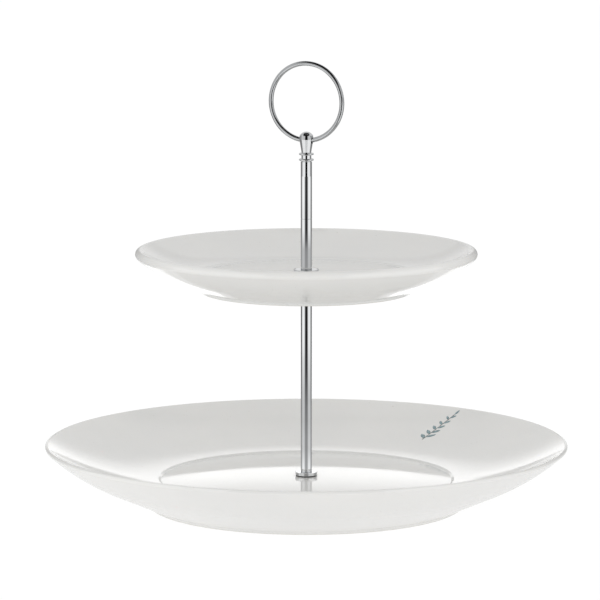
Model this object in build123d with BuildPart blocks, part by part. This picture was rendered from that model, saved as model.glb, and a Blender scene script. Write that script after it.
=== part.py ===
"""Two-tier cake stand: two glazed plates on a screwed tube mast with a lifting ring.

Millimetres. The origin is on the mast's axis at the table, +Z points up, and the
lifting ring stands in the XZ plane, so it swings about an axis along X.
Each thread is a row of V grooves at its nominal diameter, with no helix.
"""

import os
from dataclasses import dataclass
from math import asin, cos, radians, sin, sqrt, tan

from build123d import *

os.makedirs("parts", exist_ok=True)

# ---------------------------------------------------------------- plates


@dataclass
class PlateShape:
    """The section of one plate. Heights are above its own foot and angles are in degrees."""

    rim_r: float
    height: float
    lip_r: float
    floor_top: float  # at the well's edge
    floor_t: float  # at the well's edge
    floor_rise: float  # how much higher the floor is at the centre
    well_r: float
    shoulder_h: float  # step up from the well to the wall
    shoulder_angle: float  # slope of the inner wall where it starts
    inner_angle: float  # slope of the inner wall at the lip
    flank_angle: float  # slope of the outer wall's straight lower part
    rim_angle: float  # slope of the outer wall at the lip
    wall_arc_r: float  # radius of the outer wall's curved upper part
    foot_r: float
    foot_w: float


LOWER_PLATE = PlateShape(
    rim_r=152.5,
    height=36.6,
    lip_r=1.25,
    floor_top=14.9,
    floor_t=5.3,
    floor_rise=1.7,
    well_r=85.0,
    shoulder_h=0.9,
    shoulder_angle=3.0,
    inner_angle=33.0,
    flank_angle=24.0,
    rim_angle=42.0,
    wall_arc_r=120.0,
    foot_r=92.0,
    foot_w=5.0,
)

UPPER_PLATE = PlateShape(
    rim_r=99.4,
    height=24.8,
    lip_r=2.65,
    floor_top=10.1,
    floor_t=5.0,
    floor_rise=1.0,
    well_r=62.0,
    shoulder_h=0.8,
    shoulder_angle=8.0,
    inner_angle=38.0,
    flank_angle=22.0,
    rim_angle=38.0,
    wall_arc_r=90.0,
    foot_r=61.6,
    foot_w=4.0,
)

UPPER_FOOT_Z = 125.7
PLATE_HOLE_R = 4.0
SEAT_R = 9.0  # the flat that the washer is clamped on
SHOULDER_W = 1.5
SHOULDER_ROUND = 0.9
FOOT_FLARE = 0.6
FOOT_TOP_ROUND = 1.2
FOOT_EDGE_ROUND = 0.9
RECESS_ROUND = 3.0
RECESS_DRAFT = 0.8
HOLE_EDGE_ROUND = 0.5

# ---------------------------------------------------------------- mast

TUBE_R = 3.3
TUBE_WALL = 0.6
TUBE_BORE_R = TUBE_R - TUBE_WALL
SEAM_Z = 168.2
TUBE_TOP_Z = 201.6
EDGE_BREAK = 0.15

# M4 threads
THREAD_R = 2.0
THREAD_PITCH = 0.7
THREAD_DEPTH = 0.54 * THREAD_PITCH
THREAD_LEAD_IN = 0.3
BUSH_LENGTH = 12.0
HANDLE_ENGAGEMENT = 9.0
SEAM_ENGAGEMENT = 8.0
FINIAL_ENGAGEMENT = 8.0

# Washers and gaskets on a plate's floor and against its underside
WASHER_BORE_R = 2.15
GASKET_BORE_R = 2.5
LOWER_WASHER_R = 6.45
UPPER_WASHER_R = 7.4
UNDER_WASHER_R = 6.9
GASKET_INSET = 0.35
LOWER_WASHER_T = 1.9
UPPER_WASHER_T = 1.2
FLOOR_GASKET_T = 0.6
UNDER_WASHER_T = 1.2
UNDER_GASKET_T = 1.0
WASHER_EDGE = 0.25
GASKET_EDGE = 0.1

# Base screw, an M4 x 20 pan head with a cross recess
SCREW_LENGTH = 20.0
SCREW_HEAD_R = 4.0
SCREW_HEAD_H = 2.7
SCREW_HEAD_ROUND = 1.4
RECESS_SPAN = 4.2
RECESS_SLOT = 1.1
RECESS_DEPTH = 1.6
RECESS_TAPER = 8

# Clearances between pieces that turn on each other
THREAD_CLEARANCE = 0.05
BUSH_CLEARANCE = 0.02
RING_CLEARANCE = 0.1

# ---------------------------------------------------------------- finial and ring

BEAD_R = 4.35
BEAD_T = 1.2
WAIST_R = 2.9
NECK_R = 2.85
HEAD_R = 4.1
CROWN_R = 3.9
LOWER_BEAD_Z = 202.6
UPPER_BEAD_Z = 205.9
TAPER_Z = 206.9
WIDEST_Z = 214.4
CREASE_Z = 216.7
DOME_TOP_Z = 218.9

RING_R = 22.3
WIRE_R = 1.4
RING_HOLE_Z = 213.8
HOLE_OVERRUN = 1.0  # how far the cross hole's cutter stands out of the head

# ---------------------------------------------------------------- heights worked out

LOWER_FLOOR_Z = LOWER_PLATE.floor_top + LOWER_PLATE.floor_rise
LOWER_UNDERSIDE_Z = LOWER_PLATE.floor_top - LOWER_PLATE.floor_t
LOWER_TUBE_FOOT = LOWER_FLOOR_Z + FLOOR_GASKET_T + LOWER_WASHER_T
SCREW_SEAT_Z = LOWER_UNDERSIDE_Z - UNDER_GASKET_T - UNDER_WASHER_T
SCREW_TIP_Z = SCREW_SEAT_Z + SCREW_LENGTH

UPPER_FLOOR_Z = UPPER_FOOT_Z + UPPER_PLATE.floor_top + UPPER_PLATE.floor_rise
UPPER_UNDERSIDE_Z = UPPER_FOOT_Z + UPPER_PLATE.floor_top - UPPER_PLATE.floor_t
LOWER_TUBE_HEAD = UPPER_UNDERSIDE_Z - UNDER_GASKET_T - UNDER_WASHER_T
UPPER_TUBE_FOOT = UPPER_FLOOR_Z + FLOOR_GASKET_T + UPPER_WASHER_T


# ---------------------------------------------------------------- shared shapes


def save(piece, name):
    """Label a finished piece and write its STEP file."""
    piece.label = name
    export_step(piece, f"parts/{name}.step")


def outer_rims(part):
    """The circular edges of a turned part at its largest radius."""
    return part.edges().filter_by(GeomType.CIRCLE).group_by(SortBy.RADIUS)[-1]


def make_disc(outer_r, bore_r, bottom, top, edge_round):
    """A flat washer or gasket with rounded outer edges."""
    with BuildPart() as disc:
        with BuildSketch(Plane.XY.offset(bottom)):
            Circle(outer_r)
            Circle(bore_r, mode=Mode.SUBTRACT)
        extrude(amount=top - bottom)
        fillet(outer_rims(disc), edge_round)
    return disc.part


def make_tube(bottom, top):
    """A length of mast tube, its ends chamfered so that each joint shows as a fine line."""
    with BuildPart() as tube:
        with BuildSketch(Plane.XY.offset(bottom)):
            Circle(TUBE_R)
            Circle(TUBE_BORE_R, mode=Mode.SUBTRACT)
        extrude(amount=top - bottom)
        chamfer(outer_rims(tube), EDGE_BREAK)
    return tube.part


def make_bush(bottom, outer_r=TUBE_BORE_R, bore_r=THREAD_R):
    """A threaded bush that fills one end of a tube, countersunk at both mouths."""
    with BuildPart() as bush:
        with BuildSketch(Plane.XY.offset(bottom)):
            Circle(outer_r)
            Circle(bore_r, mode=Mode.SUBTRACT)
        extrude(amount=BUSH_LENGTH)
        mouths = bush.edges().filter_by(GeomType.CIRCLE).group_by(SortBy.RADIUS)[0]
        chamfer(mouths, THREAD_LEAD_IN)
    return bush.part


def thread_outline(bottom, length):
    """Points (r, z) up a thread: a crest at each pitch and a root between each two."""
    points = []
    for step in range(2 * int(length / THREAD_PITCH) + 1):
        depth = THREAD_DEPTH * (step % 2)
        points.append((THREAD_R - depth, bottom + step * THREAD_PITCH / 2))
    return points


def make_stud(face, engagement):
    """A stud: a plug pressed into the tube below its face, and a thread that stands above it."""
    tip = face + engagement
    plain = 1.5 * THREAD_PITCH
    with BuildPart() as stud:
        with BuildSketch(Plane.XZ):
            with BuildLine():
                Polyline(
                    (0, face - BUSH_LENGTH),
                    (TUBE_BORE_R, face - BUSH_LENGTH),
                    (TUBE_BORE_R, face),
                    (THREAD_R, face),
                    *thread_outline(face + plain, engagement - 2 * plain),
                    (THREAD_R, tip - THREAD_LEAD_IN),
                    (THREAD_R - THREAD_LEAD_IN, tip),
                    (0, tip),
                    close=True,
                )
            make_face()
        revolve(axis=Axis.Z)
    return stud.part


def make_plate(shape, foot_z):
    """A glazed plate: slightly domed well, curved wall, full-round lip, foot ring and hole."""
    lip_centre = (shape.rim_r - shape.lip_r, shape.height - shape.lip_r)
    flank = radians(shape.flank_angle)
    rim = radians(shape.rim_angle)
    shoulder_slope = radians(shape.shoulder_angle)

    def on_lip(angle):
        """The point on the lip's round at an angle above the outward horizontal."""
        turn = radians(angle)
        return (
            lip_centre[0] + shape.lip_r * cos(turn),
            lip_centre[1] + shape.lip_r * sin(turn),
        )

    lip_out = on_lip(shape.rim_angle - 90)
    lip_in = on_lip(shape.inner_angle + 90)
    arc_start = (
        lip_out[0] - shape.wall_arc_r * (sin(rim) - sin(flank)),
        lip_out[1] - shape.wall_arc_r * (cos(flank) - cos(rim)),
    )
    foot_top_r = shape.foot_r + FOOT_FLARE
    foot_top = (foot_top_r, arc_start[1] - (arc_start[0] - foot_top_r) * tan(flank))

    well_edge = (shape.well_r, shape.floor_top)
    seat_edge = (SEAT_R, shape.floor_top + shape.floor_rise)
    underside = shape.floor_top - shape.floor_t
    foot_inner = shape.foot_r - shape.foot_w
    recess = (foot_inner - RECESS_DRAFT * underside, underside)
    shoulder = (shape.well_r + SHOULDER_W, shape.floor_top + shape.shoulder_h)

    section_plane = Plane(origin=(0, 0, foot_z), x_dir=(1, 0, 0), z_dir=(0, -1, 0))
    with BuildPart() as plate:
        with BuildSketch(section_plane) as section:
            with BuildLine():
                Line(shoulder, well_edge)
                TangentArc(seat_edge, well_edge, tangent=(1, 0))
                Polyline(
                    seat_edge,
                    (PLATE_HOLE_R, seat_edge[1]),
                    (PLATE_HOLE_R, underside),
                    recess,
                    (foot_inner, 0),
                    (shape.foot_r, 0),
                    foot_top,
                    arc_start,
                )
                TangentArc(arc_start, lip_out, tangent=(cos(flank), sin(flank)))
                ThreePointArc(lip_out, on_lip(45), lip_in)
                TangentArc(shoulder, lip_in, tangent=(cos(shoulder_slope), sin(shoulder_slope)))
            make_face()
            for corner, radius in (
                (foot_top, FOOT_TOP_ROUND),
                (recess, RECESS_ROUND),
                ((foot_inner, 0), FOOT_EDGE_ROUND),
                ((shape.foot_r, 0), FOOT_EDGE_ROUND),
                (shoulder, SHOULDER_ROUND),
                ((PLATE_HOLE_R, seat_edge[1]), HOLE_EDGE_ROUND),
                ((PLATE_HOLE_R, underside), HOLE_EDGE_ROUND),
            ):
                fillet(section.vertices().sort_by_distance((*corner, 0))[0], radius)
        revolve(axis=Axis.Z)
    return plate.part


# ---------------------------------------------------------------- plates, washers and gaskets

save(make_plate(LOWER_PLATE, 0), "lower_plate")
save(make_plate(UPPER_PLATE, UPPER_FOOT_Z), "upper_plate")

# Each gasket lies on a plate's face and its washer beyond it, above the floor or below the underside
CLAMPS = (
    ("lower", LOWER_FLOOR_Z, FLOOR_GASKET_T, LOWER_WASHER_T, LOWER_WASHER_R),
    ("base", LOWER_UNDERSIDE_Z, -UNDER_GASKET_T, -UNDER_WASHER_T, UNDER_WASHER_R),
    ("upper", UPPER_FLOOR_Z, FLOOR_GASKET_T, UPPER_WASHER_T, UPPER_WASHER_R),
    ("support", UPPER_UNDERSIDE_Z, -UNDER_GASKET_T, -UNDER_WASHER_T, UNDER_WASHER_R),
)

for place, face_z, gasket_t, washer_t, washer_r in CLAMPS:
    between = face_z + gasket_t
    gasket = make_disc(washer_r - GASKET_INSET, GASKET_BORE_R, face_z, between, GASKET_EDGE)
    save(gasket, f"{place}_gasket")
    washer = make_disc(washer_r, WASHER_BORE_R, between, between + washer_t, WASHER_EDGE)
    save(washer, f"{place}_washer")

# ---------------------------------------------------------------- mast

save(make_tube(LOWER_TUBE_FOOT, LOWER_TUBE_HEAD), "lower_tube")
save(make_tube(UPPER_TUBE_FOOT, SEAM_Z), "upper_tube")
save(make_tube(SEAM_Z, TUBE_TOP_Z), "handle_tube")

save(make_bush(LOWER_TUBE_FOOT), "lower_foot_bush")
save(make_bush(SEAM_Z), "handle_foot_bush")
save(make_bush(TUBE_TOP_Z - BUSH_LENGTH), "handle_head_bush")
running_bush = make_bush(
    UPPER_TUBE_FOOT,
    outer_r=TUBE_BORE_R - BUSH_CLEARANCE,
    bore_r=THREAD_R + THREAD_CLEARANCE,
)
save(running_bush, "upper_foot_bush")

save(make_stud(LOWER_TUBE_HEAD, UPPER_TUBE_FOOT + HANDLE_ENGAGEMENT - LOWER_TUBE_HEAD), "lower_head_stud")
save(make_stud(SEAM_Z, SEAM_ENGAGEMENT), "upper_head_stud")

# ---------------------------------------------------------------- base screw

head_bottom = SCREW_SEAT_Z - SCREW_HEAD_H
flat_r = SCREW_HEAD_R - SCREW_HEAD_ROUND
round_mid = SCREW_HEAD_ROUND * sqrt(0.5)
thread_plain = 2 * THREAD_PITCH

with BuildPart() as base_screw:
    with BuildSketch(Plane.XZ):
        with BuildLine():
            Line((0, head_bottom), (flat_r, head_bottom))
            ThreePointArc(
                (flat_r, head_bottom),
                (flat_r + round_mid, head_bottom + SCREW_HEAD_ROUND - round_mid),
                (SCREW_HEAD_R, head_bottom + SCREW_HEAD_ROUND),
            )
            Polyline(
                (SCREW_HEAD_R, head_bottom + SCREW_HEAD_ROUND),
                (SCREW_HEAD_R, SCREW_SEAT_Z),
                (THREAD_R, SCREW_SEAT_Z),
                *thread_outline(SCREW_SEAT_Z + thread_plain, SCREW_LENGTH - 2 * thread_plain),
                (THREAD_R, SCREW_TIP_Z - THREAD_LEAD_IN),
                (THREAD_R - THREAD_LEAD_IN, SCREW_TIP_Z),
                (0, SCREW_TIP_Z),
                (0, head_bottom),
            )
        make_face()
    revolve(axis=Axis.Z)
    with BuildSketch(Plane.XY.offset(head_bottom)):
        Rectangle(RECESS_SPAN, RECESS_SLOT)
        Rectangle(RECESS_SLOT, RECESS_SPAN)
    extrude(amount=RECESS_DEPTH, taper=RECESS_TAPER, mode=Mode.SUBTRACT)

save(base_screw.part, "base_screw")

# ---------------------------------------------------------------- finial


def bead(z):
    """A turned disc bead: flat faces and a full-round rim."""
    half = BEAD_T / 2
    Line((WAIST_R, z - half), (BEAD_R - half, z - half))
    ThreePointArc((BEAD_R - half, z - half), (BEAD_R, z), (BEAD_R - half, z + half))
    Line((BEAD_R - half, z + half), (WAIST_R, z + half))


shank_bottom = TUBE_TOP_Z - FINIAL_ENGAGEMENT
shank_plain = 1.5 * THREAD_PITCH
dome_h = DOME_TOP_Z - CREASE_Z
dome_r = (CROWN_R**2 + dome_h**2) / (2 * dome_h)
dome_half = asin(CROWN_R / dome_r) / 2

with BuildPart() as finial:
    with BuildSketch(Plane.XZ):
        with BuildLine():
            Polyline(
                (0, DOME_TOP_Z),
                (0, shank_bottom),
                (THREAD_R - THREAD_LEAD_IN, shank_bottom),
                (THREAD_R, shank_bottom + THREAD_LEAD_IN),
                *thread_outline(shank_bottom + shank_plain, FINIAL_ENGAGEMENT - 2 * shank_plain),
                (THREAD_R, TUBE_TOP_Z),
                (WAIST_R, TUBE_TOP_Z),
                (WAIST_R, LOWER_BEAD_Z - BEAD_T / 2),
            )
            bead(LOWER_BEAD_Z)
            Line((WAIST_R, LOWER_BEAD_Z + BEAD_T / 2), (WAIST_R, UPPER_BEAD_Z - BEAD_T / 2))
            bead(UPPER_BEAD_Z)
            Polyline(
                (WAIST_R, UPPER_BEAD_Z + BEAD_T / 2),
                (NECK_R, TAPER_Z),
                (HEAD_R, WIDEST_Z),
                (CROWN_R, CREASE_Z),
            )
            ThreePointArc(
                (CROWN_R, CREASE_Z),
                (dome_r * sin(dome_half), DOME_TOP_Z - dome_r * (1 - cos(dome_half))),
                (0, DOME_TOP_Z),
            )
        make_face()
    revolve(axis=Axis.Z)

    # Cross hole for the ring, flared so that the curved wire clears it at every angle
    flare_r = RING_R - WIRE_R - RING_CLEARANCE
    reach = HEAD_R + HOLE_OVERRUN
    throat = RING_R - flare_r
    mouth = RING_R - sqrt(flare_r**2 - reach**2)
    with BuildSketch(Plane.XZ):
        with BuildLine():
            ThreePointArc(
                (-reach, RING_HOLE_Z + mouth),
                (0, RING_HOLE_Z + throat),
                (reach, RING_HOLE_Z + mouth),
            )
            Polyline(
                (reach, RING_HOLE_Z + mouth),
                (reach, RING_HOLE_Z),
                (-reach, RING_HOLE_Z),
                (-reach, RING_HOLE_Z + mouth),
            )
        make_face()
    revolve(axis=Axis((0, 0, RING_HOLE_Z), (1, 0, 0)), mode=Mode.SUBTRACT)

save(finial.part, "finial")

# ---------------------------------------------------------------- lifting ring

with BuildPart() as ring:
    with BuildSketch(Plane.YZ):
        with Locations((0, RING_HOLE_Z)):
            Circle(WIRE_R)
    revolve(axis=Axis((0, 0, RING_HOLE_Z + RING_R), (0, 1, 0)))

save(ring.part, "ring")
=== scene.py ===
import math

import bmesh
import bpy
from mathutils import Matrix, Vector


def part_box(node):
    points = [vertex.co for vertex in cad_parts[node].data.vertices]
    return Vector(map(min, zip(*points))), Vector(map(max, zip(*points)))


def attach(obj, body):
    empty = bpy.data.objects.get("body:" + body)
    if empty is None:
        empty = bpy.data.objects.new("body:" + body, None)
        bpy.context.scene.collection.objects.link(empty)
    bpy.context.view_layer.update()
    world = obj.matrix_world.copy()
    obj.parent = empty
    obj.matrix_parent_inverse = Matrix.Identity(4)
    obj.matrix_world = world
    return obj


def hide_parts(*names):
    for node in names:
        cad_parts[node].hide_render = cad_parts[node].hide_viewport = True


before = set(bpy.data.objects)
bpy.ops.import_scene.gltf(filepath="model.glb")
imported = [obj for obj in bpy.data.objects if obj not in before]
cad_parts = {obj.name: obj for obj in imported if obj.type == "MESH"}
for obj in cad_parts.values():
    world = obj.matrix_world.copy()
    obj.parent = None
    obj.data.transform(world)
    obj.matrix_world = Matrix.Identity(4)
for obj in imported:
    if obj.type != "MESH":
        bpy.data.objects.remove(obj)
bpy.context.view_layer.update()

# ---------------------------------------------------------------- dimensions, in metres

FLOOR_Z = -0.0003
LOWER_WELL_R = 0.085
LOWER_FOOT_Z = 0.0
UPPER_WELL_R = 0.062
UPPER_FOOT_Z = 0.1257

# Lower plate: the inner wall is an arc between two (radius, height) points, from the top of
# the step round the well to the lip
WALL_START = (0.0865, 0.0158)
WALL_START_SLOPE = math.radians(3)
WALL_END = (0.15057, 0.0364)

# M4 thread
THREAD_PITCH = 0.0007
THREAD_R = 0.002
THREAD_DEPTH = 0.00038
THREAD_LEAD_IN = 0.0003
THREAD_SIDES = 64
THREAD_ROWS = 12           # rows of points in one pitch

# ---------------------------------------------------------------- camera

CAMERA_AZIMUTH = 23.6      # degrees: the ring's right-hand side comes nearer
CAMERA_DISTANCE = 2.272    # level distance from the mast's axis
CAMERA_HEIGHT = 0.4487
CAMERA_PITCH = 8.22
CAMERA_YAW = 0.093         # degrees to the left, so the axis stands right of centre
CAMERA_LENS = 236.7
SENSOR = 36.0

scene = bpy.context.scene
scene.view_settings.view_transform = "Standard"
scene.view_settings.look = "None"


def around(azimuth, distance, height):
    """A point at an azimuth from the axis, where 0 is in front along -Y and +90 along +X."""
    a = math.radians(azimuth)
    return Vector((math.sin(a) * distance, -math.cos(a) * distance, height))


def make_camera():
    """The camera, in front of the stand and a little above it, pitched down."""
    data = bpy.data.cameras.new("camera")
    data.lens = CAMERA_LENS
    data.sensor_width = SENSOR
    data.clip_end = 100
    camera = bpy.data.objects.new("camera", data)
    scene.collection.objects.link(camera)
    camera.location = around(CAMERA_AZIMUTH, CAMERA_DISTANCE, CAMERA_HEIGHT)
    camera.rotation_euler = (
        math.radians(90 - CAMERA_PITCH),
        0,
        math.radians(CAMERA_AZIMUTH + CAMERA_YAW),
    )
    scene.camera = camera


make_camera()

# ---------------------------------------------------------------- mesh and node helpers


def mesh_object(name, verts, faces, smooth=True):
    """A new mesh object in the scene."""
    data = bpy.data.meshes.new(name)
    data.from_pydata(verts, [], faces)
    data.update()
    data.polygons.foreach_set("use_smooth", [smooth] * len(data.polygons))
    obj = bpy.data.objects.new(name, data)
    scene.collection.objects.link(obj)
    return obj


def outward(obj):
    """Turn every face of a closed mesh outwards."""
    mesh = bmesh.new()
    mesh.from_mesh(obj.data)
    bmesh.ops.recalc_face_normals(mesh, faces=mesh.faces)
    mesh.to_mesh(obj.data)
    mesh.free()


def node_material(name):
    """A new material with a Principled shader. Returns the material, its node tree and the shader."""
    material = bpy.data.materials.new(name)
    material.use_nodes = True
    tree = material.node_tree
    return material, tree, tree.nodes["Principled BSDF"]


def add_node(tree, kind, settings=None, **inputs):
    """Add a shader node. Each input is a number, a colour or another node's output."""
    node = tree.nodes.new("ShaderNode" + kind)
    for key, value in (settings or {}).items():
        setattr(node, key, value)
    for key, value in inputs.items():
        connect(tree, value, node.inputs[key.replace("_", " ")])
    return node


def connect(tree, value, socket):
    """Link a node's output to a socket, or set the socket to a plain value."""
    if isinstance(value, bpy.types.NodeSocket):
        tree.links.new(value, socket)
    else:
        socket.default_value = value


def math_node(tree, operation, first, second=0.0):
    """The result of one Math node."""
    node = add_node(tree, "Math", {"operation": operation})
    connect(tree, first, node.inputs[0])
    connect(tree, second, node.inputs[1])
    return node.outputs[0]


def remap(tree, value, old, new, smooth=False):
    """Carry a value from one range to another, held at the ends."""
    settings = {"interpolation_type": "SMOOTHSTEP"} if smooth else {}
    node = add_node(
        tree, "MapRange", settings,
        Value=value, From_Min=old[0], From_Max=old[1], To_Min=new[0], To_Max=new[1],
    )
    return node.outputs["Result"]


def blend_colors(tree, factor, first, second):
    """A colour between two, the second where the factor is 1."""
    node = add_node(tree, "Mix", {"data_type": "RGBA"})
    connect(tree, factor, node.inputs["Factor"])
    connect(tree, first, node.inputs[6])
    connect(tree, second, node.inputs[7])
    return node.outputs[2]


def noise(tree, vector, scale, detail=2.0):
    """A noise value, mostly between 0.3 and 0.7."""
    return add_node(tree, "TexNoise", Vector=vector, Scale=scale, Detail=detail).outputs["Fac"]


def stretched(tree, vector, scale):
    """A point with each of its coordinates scaled."""
    return add_node(tree, "Mapping", Vector=vector, Scale=scale).outputs["Vector"]


def object_point(tree):
    """The piece's own coordinates, their height and their distance from the mast's axis."""
    point = add_node(tree, "TexCoord").outputs["Object"]
    parts = add_node(tree, "SeparateXYZ", Vector=point)
    flat = add_node(tree, "CombineXYZ", X=parts.outputs["X"], Y=parts.outputs["Y"])
    radius = add_node(tree, "VectorMath", {"operation": "LENGTH"}, Vector=flat.outputs[0])
    return point, parts.outputs["Z"], radius.outputs["Value"]


def bump(tree, height, distance, strength=1.0, normal=None):
    """A normal tilted by a height, where a height of 1 stands for the distance."""
    node = add_node(tree, "Bump", Height=height, Distance=distance, Strength=strength)
    if normal is not None:
        tree.links.new(normal, node.inputs["Normal"])
    return node.outputs["Normal"]


# ---------------------------------------------------------------- studio

ROOM_LEVEL = 0.765
FLOOR_GLOW = 0.66
FLOOR_REACH = 30


def make_world():
    """A white backdrop for the camera, and softer surroundings for everything else."""
    world = bpy.data.worlds.new("studio")
    world.use_nodes = True
    tree = world.node_tree
    surroundings = tree.nodes["Background"]
    surroundings.inputs["Color"].default_value = (1.0, 1.0, 1.0, 1)
    surroundings.inputs["Strength"].default_value = ROOM_LEVEL
    backdrop = add_node(tree, "Background", Color=(1.0, 1.0, 1.0, 1), Strength=1.0)
    path = add_node(tree, "LightPath")
    mix = add_node(tree, "MixShader")
    tree.links.new(path.outputs["Is Camera Ray"], mix.inputs[0])
    tree.links.new(surroundings.outputs[0], mix.inputs[1])
    tree.links.new(backdrop.outputs[0], mix.inputs[2])
    tree.links.new(mix.outputs[0], tree.nodes["World Output"].inputs["Surface"])
    scene.world = world


def make_floor(name, height, base, glow):
    """A wide matt floor that glows a little."""
    corners = [(-1, -1), (1, -1), (1, 1), (-1, 1)]
    verts = [(FLOOR_REACH * x, FLOOR_REACH * y, height) for x, y in corners]
    floor = mesh_object(name, verts, [(0, 1, 2, 3)], False)
    material, _, shader = node_material(name)
    shader.inputs["Base Color"].default_value = (base, base, base, 1)
    shader.inputs["Roughness"].default_value = 0.9
    shader.inputs["Specular IOR Level"].default_value = 0.0
    shader.inputs["Emission Color"].default_value = (1, 1, 1, 1)
    shader.inputs["Emission Strength"].default_value = glow
    floor.data.materials.append(material)
    return floor


def make_floors():
    """One pale floor, in two layers: what the camera sees, and what lights the stand from below."""
    seen = make_floor("floor", FLOOR_Z, 0.08, 0.95)
    seen.visible_diffuse = False
    seen.visible_glossy = False
    seen.visible_shadow = False
    glow = make_floor("floor_glow", 2 * FLOOR_Z, 0.30, FLOOR_GLOW)
    glow.visible_camera = False


def area_light(name, location, target, size, power):
    """A soft rectangular light that is not seen itself."""
    data = bpy.data.lights.new(name, "AREA")
    data.shape = "RECTANGLE"
    data.size, data.size_y = size
    data.energy = power
    light = bpy.data.objects.new(name, data)
    scene.collection.objects.link(light)
    light.location = location
    light.rotation_euler = (Vector(target) - Vector(location)).to_track_quat("-Z", "Y").to_euler()
    light.visible_camera = False
    light.visible_glossy = False


def ramp(stops, value):
    """Interpolate along a list of (position, level) stops."""
    if value <= stops[0][0]:
        return stops[0][1]
    for (p0, v0), (p1, v1) in zip(stops, stops[1:]):
        if value <= p1:
            return v0 + (v1 - v0) * (value - p0) / (p1 - p0)
    return stops[-1][1]


# The tent is two curved walls that only reflections see
TENT_R = 0.27
TENT_TOP = 0.26
TENT_START = 22            # degrees from the camera's azimuth to each wall's front edge
TENT_COLUMNS = 160
TENT_ROWS = 24

# Its brightness by azimuth from the camera's side, low down and high up
TENT_LOW = [(20, 1.25), (80, 1.25), (90, 0.22), (126, 0.22), (140, 1.25), (165, 1.7), (180, 1.7)]
TENT_HIGH = [(20, 1.20), (80, 1.20), (90, 0.28), (150, 0.28), (158, 0.85), (165, 0.88), (180, 0.88)]
# The height where the one gives way to the other
TENT_MIX = [(0.065, 0.0), (0.10, 1.0)]
# It fades to the room's level at the top and, between the TENT_DARK azimuths, at the foot too
TENT_ROOM = 0.62
TENT_TOP_FADE = [(0.20, 0.0), (0.24, 1.0)]
TENT_DARK_FADE = [(0.0, 1.0), (0.03, 0.8), (0.05, 0.0), (0.20, 0.0), (0.24, 1.0)]
TENT_DARK = (82, 140)


def tent_level(azimuth, height):
    """The tent's brightness at a point of it."""
    low = ramp(TENT_LOW, azimuth)
    high = ramp(TENT_HIGH, azimuth)
    level = low + (high - low) * ramp(TENT_MIX, height)
    dark = TENT_DARK[0] <= azimuth <= TENT_DARK[1]
    fade = ramp(TENT_DARK_FADE if dark else TENT_TOP_FADE, height)
    return level + (TENT_ROOM - level) * fade


def reflection_card(name, verts, faces, levels, near=None):
    """A panel that only reflections see, with a brightness at each of its points.

    A near panel is clear from behind, and clear to any reflection that starts further off.
    """
    panel = mesh_object(name, verts, faces, False)
    attribute = panel.data.attributes.new("level", "FLOAT", "POINT")
    attribute.data.foreach_set("value", levels)
    material, tree, shader = node_material(name)
    shader.inputs["Base Color"].default_value = (0, 0, 0, 1)
    shader.inputs["Specular IOR Level"].default_value = 0
    shader.inputs["Emission Color"].default_value = (1, 1, 1, 1)
    level = add_node(tree, "Attribute", {"attribute_name": "level"})
    tree.links.new(level.outputs["Fac"], shader.inputs["Emission Strength"])
    if near is not None:
        behind = add_node(tree, "NewGeometry").outputs["Backfacing"]
        far = math_node(tree, "GREATER_THAN", add_node(tree, "LightPath").outputs["Ray Length"], near)
        mix = add_node(tree, "MixShader")
        tree.links.new(math_node(tree, "MAXIMUM", behind, far), mix.inputs[0])
        tree.links.new(shader.outputs[0], mix.inputs[1])
        tree.links.new(add_node(tree, "BsdfTransparent").outputs[0], mix.inputs[2])
        tree.links.new(mix.outputs[0], tree.nodes["Material Output"].inputs["Surface"])
    panel.data.materials.append(material)
    panel.visible_camera = False
    panel.visible_diffuse = False
    panel.visible_shadow = False


def make_tent():
    """Two curved walls, left and right, that meet behind the stand."""
    rows = TENT_ROWS
    for side, name in ((-1, "tent_left"), (1, "tent_right")):
        verts, faces, levels = [], [], []
        for i in range(TENT_COLUMNS + 1):
            azimuth = TENT_START + (180 - TENT_START) * i / TENT_COLUMNS
            for j in range(rows + 1):
                height = TENT_TOP * j / rows
                verts.append(around(CAMERA_AZIMUTH + side * azimuth, TENT_R, height))
                levels.append(tent_level(azimuth, height))
        for i in range(TENT_COLUMNS):
            for j in range(rows):
                a = i * (rows + 1) + j
                faces.append((a, a + 1, a + rows + 2, a + rows + 1))
        reflection_card(name, verts, faces, levels)


# Each card's name, bottom and top, and the lid's corners as (azimuth from the camera's, distance)
FRONT_CARDS = (("front_card_low", 0.0, 0.097), ("front_card_high", 0.128, 0.40))
FRONT_CARD_R = 0.20
FRONT_CARD_TURNS = range(-21, 22, 3)
FRONT_CARD_LEVEL = 0.01
LID_CORNERS = ((-40, 0.6), (40, 0.6), (140, 0.22), (-140, 0.22))
LID_Z = 0.52
LID_LEVEL = 0.02


def make_front_cards():
    """Two dark cards in front of the stand, one over the other, and a dark lid above it."""
    for name, bottom, top in FRONT_CARDS:
        verts, faces = [], []
        for turn in FRONT_CARD_TURNS:
            verts.append(around(CAMERA_AZIMUTH + turn, FRONT_CARD_R, bottom))
            verts.append(around(CAMERA_AZIMUTH + turn, FRONT_CARD_R, top))
        for i in range(len(verts) // 2 - 1):
            faces.append((2 * i, 2 * i + 1, 2 * i + 3, 2 * i + 2))
        reflection_card(name, verts, faces, [FRONT_CARD_LEVEL] * len(verts))
    lid = [around(CAMERA_AZIMUTH + turn, reach, LID_Z) for turn, reach in LID_CORNERS]
    reflection_card("lid", lid, [(0, 1, 2, 3)], [LID_LEVEL] * len(lid))


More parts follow.
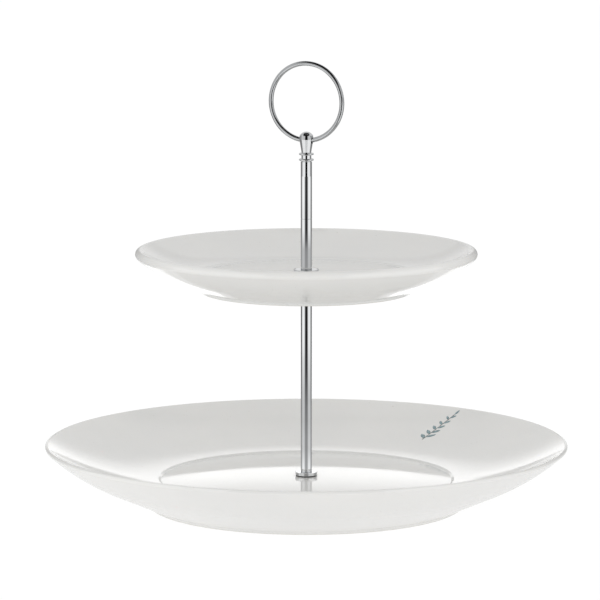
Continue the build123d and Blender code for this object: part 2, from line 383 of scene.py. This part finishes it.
# What the mast mirrors close by, at heights over each plate: (height, front streak, sides, edges)
LOWER_NEAR = [
    (0.0192, 0.52, 1.25, 0.50), (0.030, 0.42, 0.92, 0.45), (0.045, 0.33, 0.82, 0.42),
    (0.060, 0.22, 0.80, 0.36), (0.078, 0.06, 1.00, 0.24), (0.095, 0.02, 1.25, 0.20),
    (0.122, 0.02, 1.30, 0.20),
]
UPPER_NEAR = [
    (0.1386, 0.42, 0.72, 0.48), (0.149, 0.36, 0.72, 0.45), (0.155, 0.12, 1.00, 0.40),
    (0.161, 0.04, 1.25, 0.30), (0.192, 0.04, 1.35, 0.30),
]
NEAR_R = 0.012
NEAR_REACH = 0.011         # how far a reflection may come from and still see a near card
NEAR_BANDS = (16, 38, 74, 90)   # degrees: end of the streak, the sides' two ends, the edge
NEAR_SPREAD = 150          # degrees to each side of the camera's azimuth
NEAR_STEP = 2
NEAR_ROWS = 48


def make_near_card(name, stops):
    """A curved card round all but the back of the mast, clear from outside."""

    def level(azimuth, height):
        front, side, edge = (ramp([(row[0], row[k]) for row in stops], height) for k in (1, 2, 3))
        return ramp(list(zip(NEAR_BANDS, (front, side, side, edge))), abs(azimuth))

    bottom, top = stops[0][0], stops[-1][0]
    rows = NEAR_ROWS
    azimuths = range(-NEAR_SPREAD, NEAR_SPREAD + 1, NEAR_STEP)
    verts, faces, levels = [], [], []
    for i, azimuth in enumerate(azimuths):
        for j in range(rows + 1):
            height = bottom + (top - bottom) * j / rows
            verts.append(around(CAMERA_AZIMUTH + azimuth, NEAR_R, height))
            levels.append(level(azimuth, height))
            if i and j:
                a = (i - 1) * (rows + 1) + j - 1
                faces.append((a, a + 1, a + rows + 2, a + rows + 1))
    reflection_card(name, verts, faces, levels, near=NEAR_REACH)


# Soft lights that are not seen themselves: (azimuth from the camera's, distance, height),
# the height that they are aimed at on the mast's axis, their size and their power
LIGHTS = {
    "key": ((12, 1.45, 0.50), 0.08, (0.9, 0.7), 2.0),
    "fill_left": ((-70, 0.62, 0.05), 0.02, (0.4, 0.08), 0.30),
    "fill_right": ((70, 0.62, 0.05), 0.02, (0.4, 0.08), 0.12),
}


def make_lights():
    """The key light and the two low fills."""
    for name, ((turn, distance, height), aim, size, power) in LIGHTS.items():
        place = around(CAMERA_AZIMUTH + turn, distance, height)
        area_light(name, place, (0, 0, aim), size, power)


make_world()
make_floors()
make_tent()
make_front_cards()
make_near_card("near_lower", LOWER_NEAR)
make_near_card("near_upper", UPPER_NEAR)
make_lights()


# ---------------------------------------------------------------- materials

GLAZE_IOR = 1.52
GLAZE = ((0.855, 0.85, 0.83), (0.835, 0.832, 0.815))
GLAZE_POOLED = (0.80, 0.815, 0.805)
IRON_SPECK = (0.45, 0.41, 0.36)
BISCUIT = ((0.66, 0.62, 0.55), (0.80, 0.77, 0.71))


def glaze_waves(tree, point):
    """The glaze's slow, shallow waves."""
    return bump(tree, noise(tree, point, 16, 1), 0.00016)


def make_porcelain(name, foot_z, well_r):
    """White glaze with slight waves and rare specks, and a bare ground foot."""
    material, tree, shader = node_material(name)
    point, height, radius = object_point(tree)

    # Colour: barely cloudy, a little cooler where glaze pools round the well, and rare iron specks
    cloud = remap(tree, noise(tree, point, 22, 3), (0.35, 0.65), (0, 1))
    glaze = blend_colors(tree, cloud, (*GLAZE[0], 1), (*GLAZE[1], 1))
    off_well = math_node(tree, "ABSOLUTE", math_node(tree, "SUBTRACT", radius, well_r))
    pool = remap(tree, off_well, (0.0, 0.005), (0.35, 0.0), smooth=True)
    glaze = blend_colors(tree, pool, glaze, (*GLAZE_POOLED, 1))
    speck = remap(tree, noise(tree, point, 950, 0), (0.84, 0.87), (0, 0.35))
    glaze = blend_colors(tree, speck, glaze, (*IRON_SPECK, 1))

    # The foot's ground face is bare biscuit
    ragged = remap(tree, noise(tree, point, 260, 3), (0, 1), (-0.0001, 0.0001))
    edge = math_node(tree, "ADD", height, ragged)
    bare = remap(tree, edge, (foot_z + 0.0002, foot_z + 0.0004), (1, 0))
    grit = noise(tree, point, 2600, 4)
    biscuit = blend_colors(tree, grit, (*BISCUIT[0], 1), (*BISCUIT[1], 1))
    tree.links.new(blend_colors(tree, bare, glaze, biscuit), shader.inputs["Base Color"])

    smooth = remap(tree, noise(tree, point, 60, 4), (0.3, 0.7), (0.035, 0.075))
    rough = math_node(tree, "MAXIMUM", smooth, remap(tree, bare, (0, 1), (0, 0.72)))
    tree.links.new(rough, shader.inputs["Roughness"])
    shader.inputs["IOR"].default_value = GLAZE_IOR
    shader.inputs["Subsurface Weight"].default_value = 0.04
    shader.inputs["Subsurface Radius"].default_value = (1.0, 0.9, 0.75)
    shader.inputs["Subsurface Scale"].default_value = 0.002

    # Relief: slow waves in the glaze, faint orange peel, and grit on the foot
    peel = bump(tree, noise(tree, point, 380, 1), 0.0000012, normal=glaze_waves(tree, point))
    gritty = math_node(tree, "MULTIPLY", grit, bare)
    tree.links.new(bump(tree, gritty, 0.00008, normal=peel), shader.inputs["Normal"])
    return material


def make_metal(name, color, tint, rough, grain, relief):
    """A metal whose fine lines run along the tube ("drawn"), round it ("turned") or nowhere."""
    material, tree, shader = node_material(name)
    point, height, radius = object_point(tree)
    if grain == "drawn":
        lines = noise(tree, stretched(tree, point, (1800, 1800, 25)), 1.0, 3)
    elif grain == "turned":
        across = math_node(tree, "MULTIPLY", radius, 5200)
        up = math_node(tree, "MULTIPLY", height, 5200)
        lines = noise(tree, add_node(tree, "CombineXYZ", X=across, Y=up).outputs[0], 1.0, 2)
    else:
        lines = noise(tree, point, 900, 3)
    smudge = remap(tree, noise(tree, point, 70, 3), (0.45, 0.7), (0, 1), smooth=True)
    tree.links.new(blend_colors(tree, smudge, (*color, 1), (*tint, 1)), shader.inputs["Base Color"])
    shader.inputs["Metallic"].default_value = 1
    fine = remap(tree, lines, (0.3, 0.7), (rough[0], rough[1]))
    greasy = remap(tree, smudge, (0, 1), (0, 0.5 * rough[1]))
    tree.links.new(math_node(tree, "ADD", fine, greasy), shader.inputs["Roughness"])
    tree.links.new(bump(tree, lines, relief), shader.inputs["Normal"])
    return material


RUBBER = (0.022, 0.022, 0.024)
DUST = (0.075, 0.073, 0.07)


def make_rubber():
    """Black rubber with a grey bloom of dust."""
    material, tree, shader = node_material("dark_rubber")
    point = add_node(tree, "TexCoord").outputs["Object"]
    dust = remap(tree, noise(tree, point, 420, 4), (0.45, 0.75), (0, 0.6))
    black = blend_colors(tree, dust, (*RUBBER, 1), (*DUST, 1))
    tree.links.new(black, shader.inputs["Base Color"])
    tree.links.new(remap(tree, dust, (0, 0.6), (0.55, 0.8)), shader.inputs["Roughness"])
    tree.links.new(bump(tree, noise(tree, point, 2200, 3), 0.00003), shader.inputs["Normal"])
    return material


def make_underglaze(name, light, dark):
    """Brushed colour under the glaze: thin and pale in places, gathered dark in others."""
    material, tree, shader = node_material(name)
    point = add_node(tree, "TexCoord").outputs["Object"]
    wash = remap(tree, noise(tree, point, 700, 3), (0.35, 0.65), (0, 1), smooth=True)
    tree.links.new(blend_colors(tree, wash, (*light, 1), (*dark, 1)), shader.inputs["Base Color"])
    smooth = remap(tree, noise(tree, point, 60, 4), (0.3, 0.7), (0.04, 0.08))
    tree.links.new(smooth, shader.inputs["Roughness"])
    shader.inputs["IOR"].default_value = GLAZE_IOR
    tree.links.new(glaze_waves(tree, point), shader.inputs["Normal"])
    return material


def dress(material, *names):
    """Put one material on the material slots of CAD nodes."""
    for name in names:
        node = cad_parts[name]
        node.data.materials.clear()
        node.data.materials.append(material)


# Metals: their clean colour and their smudged colour
CHROME = ((0.66, 0.67, 0.68), (0.62, 0.63, 0.635))
RING_CHROME = ((0.50, 0.51, 0.52), (0.46, 0.47, 0.475))
ZINC = ((0.60, 0.605, 0.60), (0.52, 0.525, 0.50))
BRASS = ((0.80, 0.62, 0.30), (0.62, 0.44, 0.20))

drawn_chrome = make_metal("drawn_chrome", *CHROME, (0.03, 0.06), "drawn", 0.0000006)
turned_chrome = make_metal("turned_chrome", *CHROME, (0.03, 0.07), "turned", 0.0000008)
polished_chrome = make_metal("polished_chrome", *RING_CHROME, (0.10, 0.15), "polished", 0.0000006)
zinc = make_metal("zinc_steel", *ZINC, (0.22, 0.38), "polished", 0.000006)
brass = make_metal("turned_brass", *BRASS, (0.14, 0.26), "turned", 0.000004)

dress(make_porcelain("porcelain_lower", LOWER_FOOT_Z, LOWER_WELL_R), "lower_plate")
dress(make_porcelain("porcelain_upper", UPPER_FOOT_Z, UPPER_WELL_R), "upper_plate")
dress(drawn_chrome, "lower_tube", "upper_tube", "handle_tube")
dress(turned_chrome, "lower_washer", "upper_washer", "support_washer", "finial")
dress(zinc, "base_washer", "base_screw", "upper_head_stud")
dress(brass, "lower_foot_bush", "upper_foot_bush", "handle_foot_bush", "handle_head_bush")
dress(make_rubber(), "lower_gasket", "base_gasket", "support_gasket", "upper_gasket")

# ---------------------------------------------------------------- modelled pieces


def turned(name, stations, sides, cut):
    """A closed solid turned from (radius, height) stations, less a cut at each angle and height."""
    verts = []
    for radius, height in stations:
        for i in range(sides):
            angle = math.tau * i / sides
            reach = radius - cut(angle, height)
            verts.append((reach * math.cos(angle), reach * math.sin(angle), height))
    faces = []
    for j in range(len(stations) - 1):
        for i in range(sides):
            a = j * sides + i
            b = j * sides + (i + 1) % sides
            faces.append((a, b, b + sides, a + sides))
    last = (len(stations) - 1) * sides
    faces.append(tuple(range(sides)))
    faces.append(tuple(range(last, last + sides)))
    obj = mesh_object(name, verts, faces)
    outward(obj)
    obj.data.set_sharp_from_angle(angle=math.radians(35))
    return obj


def make_head_stud():
    """The stud that stands out of the lower tube, with the helix that the handle screws onto."""
    low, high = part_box("lower_head_stud")
    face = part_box("lower_tube")[1][2]
    tip = high[2]
    start, end = face + THREAD_PITCH, tip - THREAD_LEAD_IN

    def helix(angle, height):
        phase = (height / THREAD_PITCH - angle / math.tau) % 1
        runout = min(height - start, end - height) / THREAD_PITCH
        return THREAD_DEPTH * (1 - abs(2 * phase - 1)) * max(0.0, min(1.0, runout))

    stations = [(high[0], low[2]), (high[0], face)]
    steps = round((tip - face) / THREAD_PITCH * THREAD_ROWS)
    for i in range(steps + 1):
        height = face + (tip - face) * i / steps
        stations.append((THREAD_R - max(0.0, height - end), height))
    stud = turned("head_stud", stations, THREAD_SIDES, helix)
    stud.data.materials.append(zinc)
    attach(stud, "lower_mast")
    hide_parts("lower_head_stud")


WELD_TURN = math.radians(140)      # from the ring's right-hand side, over its top
WELD_SWELL = (0.030, 0.0010)       # how much thicker the wire is there, and over what length
WELD_SEAM = (0.045, 0.0002)        # the fine groove in the middle of it


def make_lifting_ring():
    """Round wire bent to a circle, its two ends butt-welded and ground nearly flush."""
    low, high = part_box("ring")
    wire = (high[1] - low[1]) / 2
    ring_r = (high[0] - low[0]) / 2 - wire
    centre_z = (high[2] + low[2]) / 2
    steps, sides = 900, 32
    verts, faces = [], []
    for i in range(steps):
        turn = math.tau * i / steps
        along = (turn - WELD_TURN) * ring_r
        swell = WELD_SWELL[0] * math.exp(-((along / WELD_SWELL[1]) ** 2))
        seam = WELD_SEAM[0] * math.exp(-((along / WELD_SEAM[1]) ** 2))
        thick = wire * (1 + swell - seam)
        for j in range(sides):
            angle = math.tau * j / sides
            reach = ring_r + thick * math.cos(angle)
            verts.append((
                reach * math.cos(turn),
                thick * math.sin(angle),
                centre_z + reach * math.sin(turn),
            ))
            a, b = i * sides, (i + 1) % steps * sides
            k = (j + 1) % sides
            faces.append((a + j, b + j, b + k, a + k))
    ring = mesh_object("lifting_ring_wire", verts, faces)
    outward(ring)
    ring.data.materials.append(polished_chrome)
    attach(ring, "lifting_ring")
    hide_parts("ring")


def wall_height(radius):
    """Height of the lower plate's inner wall at a radius."""
    run, rise = WALL_END[0] - WALL_START[0], WALL_END[1] - WALL_START[1]
    turn = math.atan2(rise, run) - WALL_START_SLOPE
    arc_r = math.hypot(run, rise) / (2 * math.sin(turn))
    slope_sine = math.sin(WALL_START_SLOPE) + (radius - WALL_START[0]) / arc_r
    return WALL_START[1] + arc_r * (math.cos(WALL_START_SLOPE) - math.sqrt(1 - slope_sine**2))


SPRIG_AZIMUTH = CAMERA_AZIMUTH + 143
SPRIG_R = 0.117            # where the stem starts on the wall
SPRIG_LENGTH = 0.028
SPRIG_BEND = 0.0045        # how far the stem's tip leans to the right
STEM_W = 0.0007
LEAF_L = 0.0068
LEAF_W = 0.0026
LEAF_PAIRS = 5
LEAF_ROOM = (0.08, 0.84)   # where along the stem the first and the last pair grow
LEAF_STAGGER = 0.05        # how much further along the right-hand leaf of a pair grows
LEAF_SPREAD = 48           # degrees from straight out
LEAF_TAPER = 0.5           # how much smaller a leaf at the tip would be
TIP_LEAF = 0.6             # the last leaf's size
TIP_HEADING = 72           # degrees: it leans to the right, as the stem does
STEM_PARTS = 14            # the stem is a chain of slim leaves, each overlapping the next
STEM_OVERLAP = 1.15
STEM_INKS = ((0.20, 0.21, 0.21), (0.09, 0.10, 0.10))
LEAF_INKS = ((0.30, 0.42, 0.44), (0.16, 0.25, 0.28))
PAINT_LIFT = 0.00005
PAINT_T = 0.00004


def add_leaf(verts, faces, base, heading, length, width):
    """A pointed leaf on the wall's own plane: across it and outwards, from its base."""
    steps = 12
    for i in range(steps + 1):
        s = i / steps
        half = width / 2 * math.sin(math.pi * s) ** 0.8
        for side in (-half, 0, half):
            across = base[0] + math.cos(heading) * length * s - math.sin(heading) * side
            out = base[1] + math.sin(heading) * length * s + math.cos(heading) * side
            radius = SPRIG_R + out
            azimuth = SPRIG_AZIMUTH - math.degrees(across / radius)
            verts.append(around(azimuth, radius, wall_height(radius)))
        if i:
            a = len(verts) - 6
            faces.append((a, a + 1, a + 4, a + 3))
            faces.append((a + 1, a + 2, a + 5, a + 4))


def lay_on_wall(name, verts, faces, material):
    """Lay a flat outline on the lower plate as a thin skin of paint."""
    obj = mesh_object(name, verts, faces)
    obj.data.materials.append(material)
    wrap = obj.modifiers.new("on_wall", "SHRINKWRAP")
    wrap.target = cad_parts["lower_plate"]
    wrap.wrap_mode = "ABOVE_SURFACE"
    wrap.offset = PAINT_LIFT
    skin = obj.modifiers.new("skin", "SOLIDIFY")
    skin.thickness = PAINT_T
    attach(obj, "base")


def make_sprig():
    """A small painted sprig on the lower plate's wall: a leaning stem with pairs of leaves."""

    def stem_point(s):
        return (SPRIG_BEND * s * s, SPRIG_LENGTH * s)

    verts, faces = [], []
    for i in range(STEM_PARTS):
        u0, v0 = stem_point(i / STEM_PARTS)
        u1, v1 = stem_point((i + STEM_OVERLAP) / STEM_PARTS)
        heading = math.atan2(v1 - v0, u1 - u0)
        add_leaf(verts, faces, (u0, v0), heading, math.hypot(u1 - u0, v1 - v0), STEM_W)
    lay_on_wall("sprig_stem", verts, faces, make_underglaze("stem_grey", *STEM_INKS))

    verts, faces = [], []
    for k in range(LEAF_PAIRS):
        s = LEAF_ROOM[0] + (LEAF_ROOM[1] - LEAF_ROOM[0]) * k / (LEAF_PAIRS - 1)
        size = 1 - LEAF_TAPER * s
        for side in (-1, 1):
            base = stem_point(s + LEAF_STAGGER * (side > 0))
            heading = math.radians(90 - side * LEAF_SPREAD)
            add_leaf(verts, faces, base, heading, LEAF_L * size, LEAF_W * size)
    heading = math.radians(TIP_HEADING)
    add_leaf(verts, faces, stem_point(1), heading, LEAF_L * TIP_LEAF, LEAF_W * TIP_LEAF)
    lay_on_wall("sprig_leaves", verts, faces, make_underglaze("leaf_blue", *LEAF_INKS))


make_head_stud()
make_lifting_ring()
make_sprig()
